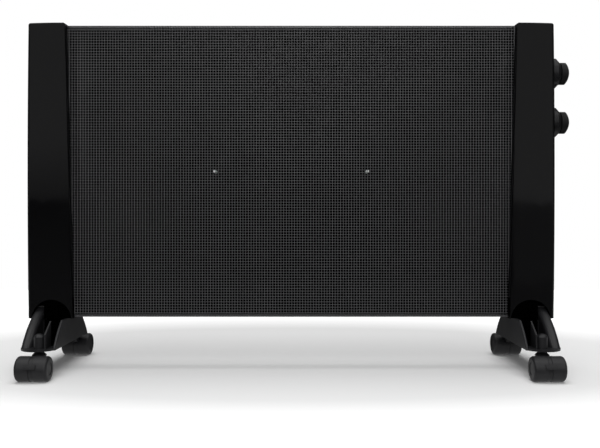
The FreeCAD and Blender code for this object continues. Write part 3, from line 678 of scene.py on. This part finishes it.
class SheetMesh:
    """Mesh of one width of a grille, cell by cell: both skins, the walls of the holes and the edge.

    Attributes:
        points: Corners of both skins, in the frame.
        faces: Corner numbers of each face.
        places: Place on the bake's map of each corner of each face.
    """

    SIDES = 8  # of a hole with cut corners
    WALL_SHRINK = 0.55  # the walls fill the empty hole on the bake's map down to this share of it
    MAP_MARGIN = 4.0  # room round each skin on the bake's map
    MAP_EDGE = 1.5  # how far, over the map's whole length, the edge is spread outwards on it

    def __init__(
        self, grille: PerforatedGrilles, borders: list[float], left: bool, right: bool
    ) -> None:
        """Makes the mesh.

        Args:
            grille: Sizes of the grille.
            borders: Column borders along X.
            left: Whether the first column is plain.
            right: Whether the last column is plain.
        """
        self.grille = grille
        self.borders = np.asarray(borders, float)
        self.across: list[np.ndarray] = []
        self.along: list[np.ndarray] = []
        self.count = 0
        self.rings: list[np.ndarray] = []
        self.faces: list[list[int]] = []
        punched = np.ones(len(borders) - 1, bool)
        punched[0] &= not left
        punched[-1] &= not right
        self._close(self._lay_out(punched))

    def _add(self, across: np.ndarray, along: np.ndarray) -> np.ndarray:
        """Adds points on the flat sheet.

        Args:
            across: Places along X.
            along: Places along the sheet.

        Returns:
            Numbers of the new points.
        """
        across, along = np.broadcast_arrays(across, along)
        numbers = np.arange(self.count, self.count + across.size).reshape(across.shape)
        self.across.append(across.ravel())
        self.along.append(along.ravel())
        self.count += across.size
        return numbers

    def _lay_out(self, punched: np.ndarray) -> list[int]:
        """Adds the cells row by row.

        Args:
            punched: Which columns have holes.

        Returns:
            Numbers of the points round the outline, in order.
        """
        g = self.grille
        half = g.hole / 2
        short = half - g.corner
        ring_x = np.array([half, short, -short, -half, -half, -short, short, half])
        ring_s = np.roll(ring_x, 2)
        middle = (self.borders[:-1] + self.borders[1:]) / 2
        rows = g.rows()
        below = self._add(self.borders, np.array(rows[0][0]))
        left_side, right_side = [below[0]], [below[-1]]
        first_row = below
        for start, end, kind in rows:
            above = self._add(self.borders, np.array(end))
            centre = (start + end) / 2
            levels = []
            if kind is Row.BEND:
                for height in (-half, -short, short, half):
                    levels.append(self._add(self.borders, np.array(centre + height)))
            left_side += [level[0] for level in levels] + [above[0]]
            right_side += [level[-1] for level in levels] + [above[-1]]
            holes = punched & (kind is not Row.PLAIN)
            ring = self._add(middle[holes][:, None] + ring_x, centre + ring_s)
            self._cells(below, above, levels, holes, ring)
            below = above
        last_row = below
        return [
            int(number)
            for run in (first_row, right_side[1:], last_row[::-1][1:], left_side[::-1][1:-1])
            for number in run
        ]

    def _cells(
        self,
        below: np.ndarray,
        above: np.ndarray,
        levels: list[np.ndarray],
        holes: np.ndarray,
        ring: np.ndarray,
    ) -> None:
        """Adds the faces of one row of cells.

        Args:
            below: Points along the row's lower border.
            above: Points along its upper border.
            levels: Points on the column borders in between, in a folded row.
            holes: Which columns have a hole.
            ring: Points round each hole.
        """
        sw, se, nw, ne = below[:-1], below[1:], above[:-1], above[1:]
        west = [level[:-1] for level in levels]
        east = [level[1:] for level in levels]
        self._outer([sw, se, *east, ne, nw, *west[::-1]], ~holes)
        o = [np.zeros(len(holes), int) for _ in range(self.SIDES)]
        for k in range(self.SIDES):
            o[k][holes] = ring[:, k]
        if levels:
            right, left = [o[6], o[7], o[0], o[1]], [o[5], o[4], o[3], o[2]]
            self._outer([ne, nw, west[3], left[3], right[3], east[3]], holes)
            for k in (2, 1, 0):
                self._outer([east[k], east[k + 1], right[k + 1], right[k]], holes)
                self._outer([left[k], left[k + 1], west[k + 1], west[k]], holes)
            self._outer([se, east[0], right[0], left[0], west[0], sw], holes)
        else:
            for k, (a, b) in enumerate([(se, ne), (ne, nw), (nw, sw), (sw, se)]):
                self._outer([a, b, o[2 * k], o[2 * k - 1]], holes)
                self._outer([b, o[2 * k + 1], o[2 * k]], holes)
        self.rings.append(ring)

    def _outer(self, corners: list[np.ndarray], where: np.ndarray) -> None:
        """Adds one face of each chosen cell to the outer skin."""
        chosen = np.stack(corners, axis=1)[where]
        self.faces.extend(chosen.tolist())

    def _close(self, outline: list[int]) -> None:
        """Closes the sheet with its inner skin, hole walls and edge, and maps it.

        Args:
            outline: Numbers of the points round the outline, in order.
        """
        flat = np.stack([np.concatenate(self.across), np.concatenate(self.along)], axis=1)
        n = self.count
        skins = self.faces + [[c + n for c in reversed(face)] for face in self.faces]
        ring = np.concatenate(self.rings)
        after = np.roll(ring, -1, axis=1)
        walls = np.stack([ring, after, after + n, ring + n], axis=-1).reshape(-1, 4)
        rim = np.array(outline)
        follow = np.roll(rim, -1)
        edge = np.stack([follow, rim, rim + n, follow + n], axis=1)
        self.faces = skins + walls.tolist() + edge.tolist()
        self.points = np.concatenate(
            [self.grille.folded(flat[:, 0], flat[:, 1], deep) for deep in (0.0, self.grille.sheet)]
        )
        self.places = self._map(flat, skins, ring, walls, edge)

    def _map(
        self,
        flat: np.ndarray,
        skins: list[list[int]],
        ring: np.ndarray,
        walls: np.ndarray,
        edge: np.ndarray,
    ) -> np.ndarray:
        """Lays the skins side by side on the bake's map, with the hole walls in the empty holes.

        Args:
            flat: Places of one skin's points on the flat sheet.
            skins: Faces of both skins.
            ring: Points round each hole.
            walls: Faces of the hole walls.
            edge: Faces of the sheet's edge.

        Returns:
            Place on the map of each corner of each face.
        """
        wide, tall = np.ptp(flat, axis=0) + 2 * self.MAP_MARGIN
        size = max(tall, 2 * wide)
        shifted = flat - flat.min(axis=0) + self.MAP_MARGIN
        spots = np.concatenate([shifted, shifted + [wide, 0.0]]) / size
        loops = np.fromiter((c for face in skins for c in face), int)
        centre = np.repeat(spots[ring].mean(axis=1), self.SIDES, axis=0)
        rim_a, rim_b = spots[walls[:, 0]], spots[walls[:, 1]]
        deep_b, deep_a = (centre + self.WALL_SHRINK * (r - centre) for r in (rim_b, rim_a))
        middle = spots[: self.count].mean(axis=0)
        out = 1.0 + self.MAP_EDGE / size
        a, b = spots[edge[:, 0]], spots[edge[:, 1]]
        out_b, out_a = (middle + out * (r - middle) for r in (b, a))
        quads = ([rim_a, rim_b, deep_b, deep_a], [a, b, out_b, out_a])
        parts = [spots[loops]] + [np.stack(quad, axis=1).reshape(-1, 2) for quad in quads]
        return np.concatenate(parts).astype(np.float32)


@dataclass(frozen=True)
class Softbox:
    """A square soft lamp.

    Attributes:
        name: Name of the lamp.
        place: Where it hangs.
        target: What it points at.
        size: Side of its square.
        power: Power in watts.
    """

    name: str
    place: Place
    target: Place
    size: float
    power: float

    def build(self) -> None:
        """Hangs the lamp."""
        data = bpy.data.lights.new(self.name, "AREA")
        data.shape, data.size, data.energy = "SQUARE", self.size * MM, self.power
        lamp = bpy.data.objects.new(self.name, data)
        lamp.location = Vector(self.place) * MM
        aim = Vector(self.target) - Vector(self.place)
        lamp.rotation_euler = aim.to_track_quat("-Z", "Y").to_euler()
        bpy.context.scene.collection.objects.link(lamp)


KEY_SOFTBOX = Softbox(
    "key_softbox", (0.0, -30.0, 3000.0), (0.0, -30.0, 0.0), size=2800.0, power=75.0
)
FILL_SOFTBOX = Softbox(
    "fill_softbox", (0.0, -2600.0, 1500.0), (0.0, 0.0, 200.0), size=1600.0, power=36.0
)


@dataclass(frozen=True)
class ReflectionCard:
    """A card that only mirrored rays see.

    Attributes:
        name: Name of the card.
        corners: Its four corners, in order.
        low: How bright it is beside white, or how bright the lower edge of a graded card is.
        high: How bright the upper edge of a graded card is.
    """

    name: str
    corners: Sequence[Place]
    low: float
    high: float | None = None

    def build(self) -> None:
        """Hangs the card."""
        material = bpy.data.materials.new(self.name)
        material.use_nodes = True
        tree = material.node_tree
        tree.nodes.remove(tree.nodes["Principled BSDF"])
        glow = add_node(tree, "ShaderNodeEmission", {"Color": srgb(WHITE), "Strength": self.low})
        if self.high is not None:
            place = add_node(tree, "ShaderNodeTexCoord").outputs["Generated"]
            height = add_node(tree, "ShaderNodeSeparateXYZ", links={"Vector": place})
            level = add_node(
                tree,
                "ShaderNodeMapRange",
                {"To Min": self.low, "To Max": self.high},
                {"Value": height.outputs["Z"]},
            )
            tree.links.new(level.outputs["Result"], glow.inputs["Strength"])
        tree.links.new(glow.outputs["Emission"], tree.nodes["Material Output"].inputs["Surface"])
        card = mesh_object(self.name, self.corners, [(0, 1, 2, 3)], material)
        card.visible_camera = False
        card.visible_diffuse = False
        card.visible_shadow = False


@dataclass
class CardRoom:
    """Room of reflection cards round the heater, which its glossy pieces mirror.

    Attributes:
        front: Place along Y of the front wall, behind the camera.
        back: Place along Y of the rear wall.
        reach: Distance of the side walls from the middle.
        top: Height of the ceiling.
        under: Height of the floor cards, just above the floor.
        flag: Half the width of the dim middle of front wall and ceiling, which the grille faces.
        flag_top: Height at which that middle of the wall gets brighter.
        left_border: Heights, at the outer and the inner end, of the border on the left of the front
            wall that shows in the left cap as a change of shade.
        right_border: Heights of that border on the right, at the outer and the inner end.
        shade_top: Height below which the left of the front wall darkens towards its border.
        ceiling_split: Place along Y where the front part of the ceiling ends.
        near_floor: Front and back edge of the brighter strip of floor under the heater.
    """

    front: float = -1500.0
    back: float = 1300.0
    reach: float = 3000.0
    top: float = 2600.0
    under: float = 0.5
    flag: float = 735.0
    flag_top: float = 900.0
    left_border: Span = (304.0, 292.0)
    right_border: Span = (272.0, 284.0)
    shade_top: float = 495.0
    ceiling_split: float = -200.0
    near_floor: Span = (-150.0, 120.0)

    def bays(self) -> tuple[Span, Span, Span]:
        """Left, middle and right stretch, along X, of the front wall and the ceiling's front."""
        return (-self.reach, -self.flag), (-self.flag, self.flag), (self.flag, self.reach)

    def front_wall(self) -> Iterable[ReflectionCard]:
        """Lays out the wall that the caps and the grille face.

        Yields:
            Each card, with its lower and upper edge at the heights of its left and right end.
        """
        left, middle, right = self.bays()
        foot, head = (self.under, self.under), (self.top, self.top)
        shade, step = (self.shade_top, self.shade_top), (self.flag_top, self.flag_top)
        left_border, right_border = self.left_border, self.right_border[::-1]
        for name, (x0, x1), lower, upper, low, high in (
            ("upper_left_card", left, shade, head, 0.25, 0.25),
            ("shaded_left_card", left, left_border, shade, 0.12, 0.25),
            ("upper_right_card", right, right_border, head, 0.25, 0.25),
            ("lower_left_card", left, foot, left_border, 0.055, 0.02),
            ("lower_right_card", right, foot, right_border, 0.09, 0.08),
            ("middle_flag", middle, foot, step, 0.0, 0.02),
            ("upper_middle_card", middle, step, head, 0.08, 0.08),
        ):
            ends = [(x0, lower[0]), (x1, lower[1]), (x1, upper[1]), (x0, upper[0])]
            yield ReflectionCard(name, [(x, self.front, z) for x, z in ends], low, high)

    def other_walls(self) -> Iterable[ReflectionCard]:
        """Lays out the side walls and the rear wall.

        Yields:
            Each card.
        """
        for name, level, ends in (
            ("left_card", 0.04, [(-self.reach, self.back), (-self.reach, self.front)]),
            ("right_card", 0.04, [(self.reach, self.front), (self.reach, self.back)]),
            ("rear_card", 0.10, [(self.reach, self.back), (-self.reach, self.back)]),
        ):
            lower, upper = [(*p, self.under) for p in ends], [(*p, self.top) for p in ends]
            yield ReflectionCard(name, lower + upper[::-1], level)

    def level_cards(self) -> Iterable[ReflectionCard]:
        """Lays out the ceiling and the floor.

        Yields:
            Each card.
        """
        left, middle, right = self.bays()
        across = (-self.reach, self.reach)
        fore, aft = (self.front, self.ceiling_split), (self.ceiling_split, self.back)
        near, far = self.near_floor
        for name, level, height, (x0, x1), (y0, y1) in (
            ("left_ceiling_card", 1.0, self.top, left, fore),
            ("middle_ceiling_flag", 0.1, self.top, middle, fore),
            ("right_ceiling_card", 0.8, self.top, right, fore),
            ("rear_ceiling_card", 0.35, self.top, across, aft),
            ("front_floor_card", 0.06, self.under, across, (self.front, near)),
            ("near_floor_card", 0.45, self.under, across, (near, far)),
            ("rear_floor_card", 0.06, self.under, across, (far, self.back)),
        ):
            flat = [(x0, y0), (x1, y0), (x1, y1), (x0, y1)]
            yield ReflectionCard(name, [(*p, height) for p in flat], level)

    def build(self) -> list[str]:
        """Hangs the cards.

        Returns:
            Their names.
        """
        cards = [*self.front_wall(), *self.other_walls(), *self.level_cards()]
        for card in cards:
            card.build()
        return [card.name for card in cards]


@dataclass
class Studio:
    """Pale floor, white world, reflection cards, soft lamps and the camera.

    Attributes:
        eye: Place of the camera.
        focal: Focal length in pixels of the photograph.
        principal: Pixel that the camera's axis passes through.
        floor: Left, right, front and back edge of the floor.
        ambient: Level of the world's light.
        lift: Share of white that the floor shows by itself near the heater.
        fade: Distance from a point behind the heater at which the floor starts to turn white, and
            at which it is white.
        fade_back: How far behind the heater that point is.
        fade_shape: Weights of X, Y and Z in that distance.
        cards: What the glossy pieces mirror.
        lamps: What lights the heater.
    """

    eye: Place = (10.0, -1125.0, 226.0)
    focal: float = 740.0
    principal: Span = (297.8, 218.0)
    floor: tuple[float, float, float, float] = (-1600.0, 1600.0, -820.0, 1200.0)
    ambient: float = 0.15
    lift: float = 0.04
    fade: Span = (300.0, 750.0)
    fade_back: float = 90.0
    fade_shape: Place = (0.5, 1.0, 0.0)
    cards: CardRoom = field(default_factory=CardRoom)
    lamps: tuple[Softbox, ...] = (KEY_SOFTBOX, FILL_SOFTBOX)

    def seen_rays(self, tree: bpy.types.NodeTree) -> bpy.types.NodeSocket:
        """Marks the rays that see the white studio: from the camera, mirrored or through glass.

        Args:
            tree: Node tree of the floor or of the world.

        Returns:
            A socket that is 1 on those rays and 0 on the others.
        """
        path = add_node(tree, "ShaderNodeLightPath")
        seen = path.outputs["Is Camera Ray"]
        for ray in ("Is Glossy Ray", "Is Transmission Ray"):
            either = add_node(
                tree, "ShaderNodeMath", {"operation": "MAXIMUM"}, {0: seen, 1: path.outputs[ray]}
            )
            seen = either.outputs["Value"]
        return seen

    def build_world(self) -> None:
        """Makes the world: even light, and white where it is seen."""
        world = bpy.data.worlds.new("studio_world")
        world.use_nodes = True
        tree = world.node_tree
        background = tree.nodes["Background"]
        background.inputs["Color"].default_value = srgb(WHITE)
        level = add_node(
            tree,
            "ShaderNodeMapRange",
            {"To Min": self.ambient, "To Max": 1.0},
            {"Value": self.seen_rays(tree)},
        )
        tree.links.new(level.outputs["Result"], background.inputs["Strength"])
        bpy.context.scene.world = world

    def build_floor(self) -> None:
        """Makes the pale floor, which keeps the shadow of the heater."""
        material = bpy.data.materials.new("white_studio_floor")
        material.use_nodes = True
        tree = material.node_tree
        shader = tree.nodes["Principled BSDF"]
        shader.inputs["Base Color"].default_value = srgb("#f2f2f2")
        shader.inputs["Roughness"].default_value = 0.9
        shader.inputs["Specular IOR Level"].default_value = 0.0
        shader.inputs["Emission Color"].default_value = srgb(WHITE)
        place = add_node(tree, "ShaderNodeTexCoord").outputs["Object"]
        plan = add_node(
            tree,
            "ShaderNodeVectorMath",
            {"operation": "MULTIPLY_ADD", 1: self.fade_shape, 2: (0.0, -self.fade_back * MM, 0.0)},
            {0: place},
        )
        away = add_node(
            tree, "ShaderNodeVectorMath", {"operation": "LENGTH"}, {0: plan.outputs["Vector"]}
        )
        near, far = self.fade
        lifted = add_node(
            tree,
            "ShaderNodeMapRange",
            {"From Min": near * MM, "From Max": far * MM, "To Min": self.lift, "To Max": 1.0},
            {"Value": away.outputs["Value"]},
        )
        shown = add_node(
            tree,
            "ShaderNodeMath",
            {"operation": "MULTIPLY"},
            {0: lifted.outputs["Result"], 1: self.seen_rays(tree)},
        )
        tree.links.new(shown.outputs["Value"], shader.inputs["Emission Strength"])
        x0, x1, y0, y1 = self.floor
        corners = [(x0, y0, 0.0), (x1, y0, 0.0), (x1, y1, 0.0), (x0, y1, 0.0)]
        mesh_object("studio_floor", corners, [(0, 1, 2, 3)], material)

    def build_camera(self) -> None:
        """Sets the level camera of the photograph, with the shift that its framing needs."""
        data = bpy.data.cameras.new("photo_camera")
        data.sensor_fit, data.sensor_width = "HORIZONTAL", SENSOR_WIDTH
        data.lens = self.focal / PHOTO_WIDTH * SENSOR_WIDTH
        data.shift_x = (PHOTO_WIDTH / 2 - self.principal[0]) / PHOTO_WIDTH
        data.shift_y = (self.principal[1] - PHOTO_HEIGHT / 2) / PHOTO_WIDTH
        camera = bpy.data.objects.new("photo_camera", data)
        camera.location = Vector(self.eye) * MM
        camera.rotation_euler = (math.pi / 2, 0.0, 0.0)
        bpy.context.scene.collection.objects.link(camera)
        bpy.context.scene.camera = camera

    def build(self) -> list[str]:
        """Builds the studio.

        Returns:
            Names of its pieces.
        """
        bpy.context.scene.view_settings.view_transform = "Standard"
        self.build_camera()
        self.build_world()
        self.build_floor()
        cards = self.cards.build()
        for lamp in self.lamps:
            lamp.build()
        return ["photo_camera", "studio_floor", *cards, *(lamp.name for lamp in self.lamps)]


def castor_nodes(*kinds: str) -> list[str]:
    """Names of the castors' nodes of these kinds.

    Args:
        kinds: Ends of the names, such as "hood".

    Returns:
        The names, for all four castors.
    """
    return [
        f"{end}_{hand}_castor_{kind}"
        for end in ("front", "rear")
        for hand in ("left", "right")
        for kind in kinds
    ]


def dressed_groups() -> Iterable[DressedGroup]:
    """Sorts the CAD nodes by finish.

    Yields:
        Each group of nodes, sub-assembly by sub-assembly.
    """
    boards = ("left", "centre", "right")
    yield DressedGroup("end caps", CAP_ABS, ("left_end_cap", "right_end_cap"))
    yield DressedGroup("feet", FOOT_PP, ("left_foot", "right_foot"))
    yield DressedGroup("castor housings", CASTOR_NYLON, castor_nodes("hood"))
    yield DressedGroup("castor wheels", WHEEL_NYLON, castor_nodes("wheel_left", "wheel_right"))
    yield DressedGroup("castor pins", BRIGHT_STEEL, castor_nodes("stem", "axle"))
    yield DressedGroup("knobs", KNOB_ABS, ("power_knob", "thermostat_knob"))
    yield DressedGroup("collars", COLLAR_ABS, ("power_collar", "thermostat_collar"))
    yield DressedGroup(
        "heating boards",
        MICA,
        [f"{board}_{side}_mica" for board in boards for side in ("front", "rear")],
    )
    yield DressedGroup("heating foils", HEATING_FOIL, [f"{board}_heating_foil" for board in boards])
    yield DressedGroup(
        "board rails",
        FIRED_ENAMEL,
        ("lower_rail", "upper_rail", "left_clamp_strips", "right_clamp_strips"),
    )
    yield DressedGroup(
        "inner frame", PHOSPHATED_STEEL, ("left_end_plate", "right_end_plate", "control_bracket")
    )
    yield DressedGroup(
        "screws and spindles",
        BRIGHT_STEEL,
        ("grille_screws", "cap_screws", "foot_screws", "power_spindle", "thermostat_spindle"),
    )
    yield DressedGroup("board rivets", RIVET_ALUMINIUM, ("board_rivets",))
    yield DressedGroup(
        "controls",
        CONTROL_PHENOLIC,
        ("power_switch", "thermostat", "thermal_cutout", "tip_over_switch", "terminal_block"),
    )
    yield DressedGroup("cord gland", GLAND_RUBBER, ("cord_gland",))


def main() -> None:
    """Builds the studio and each sub-assembly in order, and reports the pieces."""
    logging.basicConfig(level=logging.INFO, format="%(name)s: %(message)s")
    LOG.info("studio: %s", ", ".join(Studio().build()))
    LOG.info("grilles: %s", ", ".join(PerforatedGrilles().build()))
    for group in dressed_groups():
        LOG.info("%s: %s", group.title, ", ".join(group.build()))


if __name__ == "__main__":
    main()
